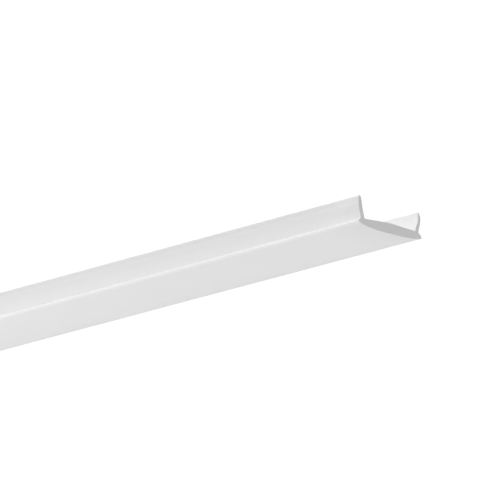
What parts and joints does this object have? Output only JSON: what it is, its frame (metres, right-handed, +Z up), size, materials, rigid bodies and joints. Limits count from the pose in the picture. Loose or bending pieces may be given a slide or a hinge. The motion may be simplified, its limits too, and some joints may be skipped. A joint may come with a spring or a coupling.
{
  "type": "led profile cover",
  "caption": "Opal snap-in cover strip for an LED profile, extruded with a lens-shaped face and an upright snap leg along each side.",
  "frame": {"origin": "middle of the footprint, on the surface that the cover lies on with its curved face down", "axes": "+X across the strip towards the shorter leg, +Y along its length, +Z up through the legs"},
  "size_m": [0.015, 0.5, 0.0053],
  "materials": {
    "opal_plastic": "frosted opal white, satin"
  },
  "bodies": {
    "root": {"cover": "opal_plastic"}
  },
  "joints": []
}
